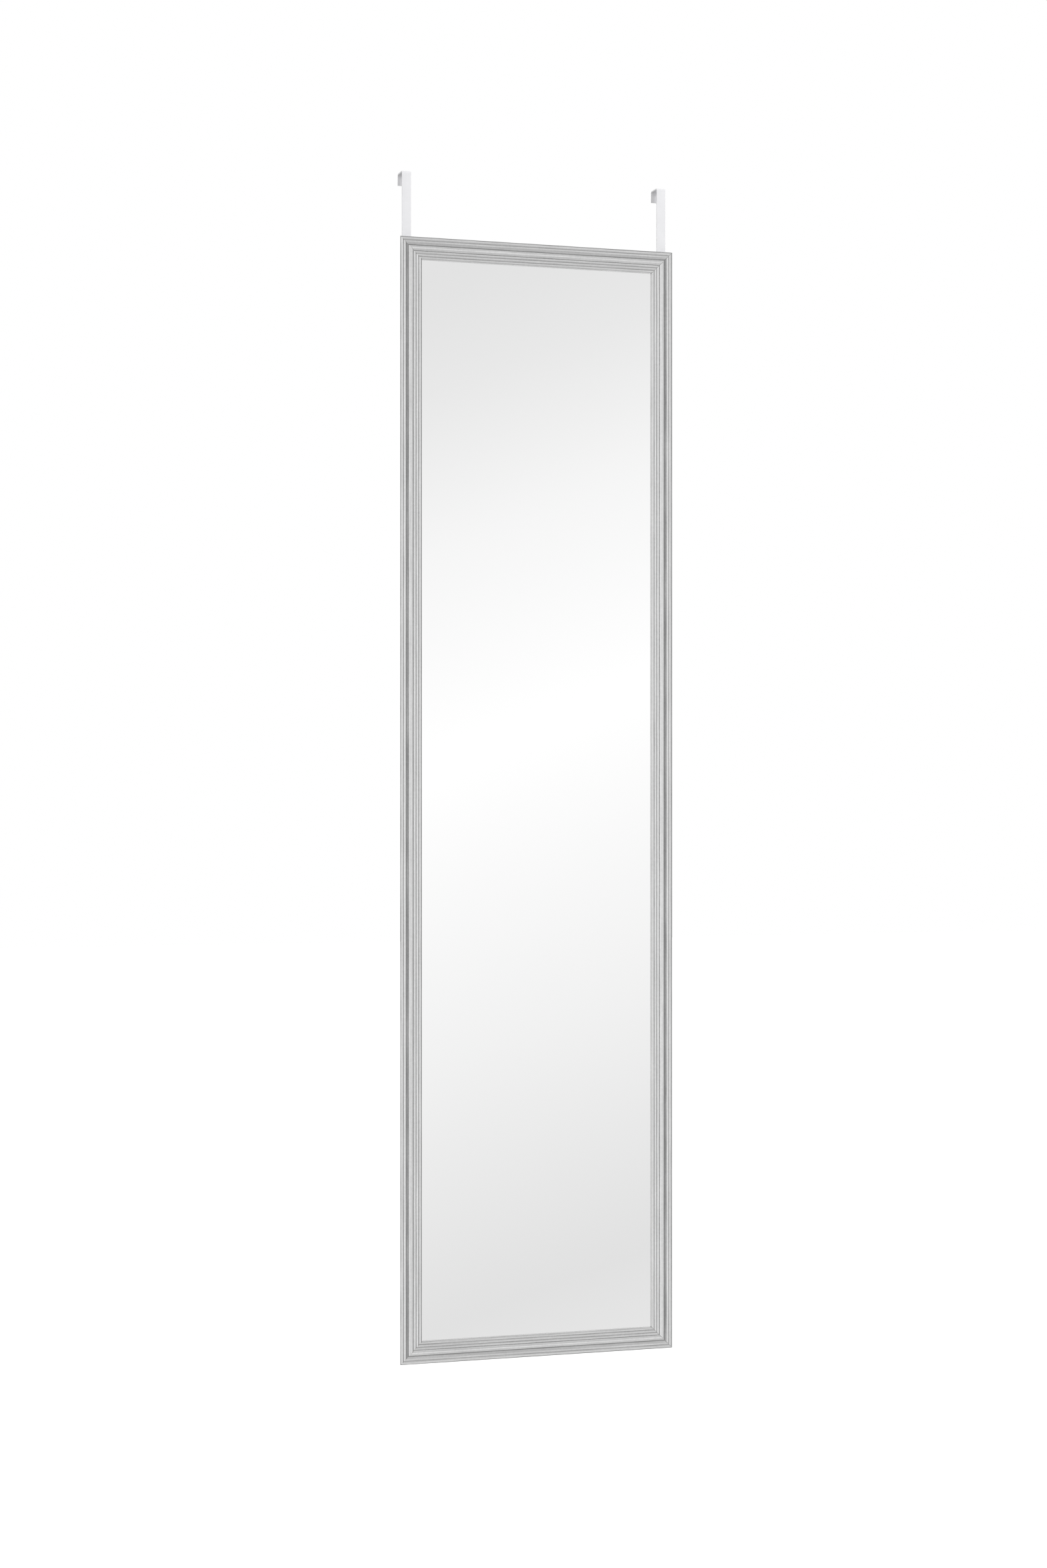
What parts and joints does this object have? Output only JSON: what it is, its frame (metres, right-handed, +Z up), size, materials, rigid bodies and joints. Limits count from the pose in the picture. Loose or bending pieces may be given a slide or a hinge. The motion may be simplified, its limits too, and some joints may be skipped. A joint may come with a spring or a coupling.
{
  "type": "over the door mirror",
  "caption": "Tall framed mirror with a reeded silver moulding, hung from the top edge of a door on two strip-steel hooks.",
  "frame": {"origin": "on the top edge of the door, midway between the two hooks: the underside of the hooks' bridges is at Z = 0 and the door's front face, where the straps lie, is at Y = 0", "axes": "+Z up, front of the mirror towards -Y, +X to the right of someone who looks at the mirror"},
  "size_m": [0.31, 0.0313, 1.2825],
  "materials": {
    "frame_foil": "bright silver foil on extruded plastic moulding, darker in the grooves",
    "silvered_glass": "plain silvered glass with ground edges",
    "foam": "thin white foam sheet",
    "hardboard": "smooth brown hardboard",
    "hanger_paint": "white powder coat, satin",
    "fastener_steel": "zinc plated steel",
    "bumper_rubber": "black rubber pad"
  },
  "bodies": {
    "root": {"top_rail": "frame_foil", "bottom_rail": "frame_foil", "left_stile": "frame_foil", "right_stile": "frame_foil", "mirror_glass": "silvered_glass", "foam_sheet": "foam", "backing_board": "hardboard", "left_points": "fastener_steel", "right_points": "fastener_steel", "top_points": "fastener_steel", "bottom_points": "fastener_steel", "top_left_nails": "fastener_steel", "top_right_nails": "fastener_steel", "bottom_left_nails": "fastener_steel", "bottom_right_nails": "fastener_steel", "left_hanger": "hanger_paint", "right_hanger": "hanger_paint", "left_hanger_screws": "fastener_steel", "right_hanger_screws": "fastener_steel", "left_bumper": "bumper_rubber", "right_bumper": "bumper_rubber"}
  },
  "joints": []
}
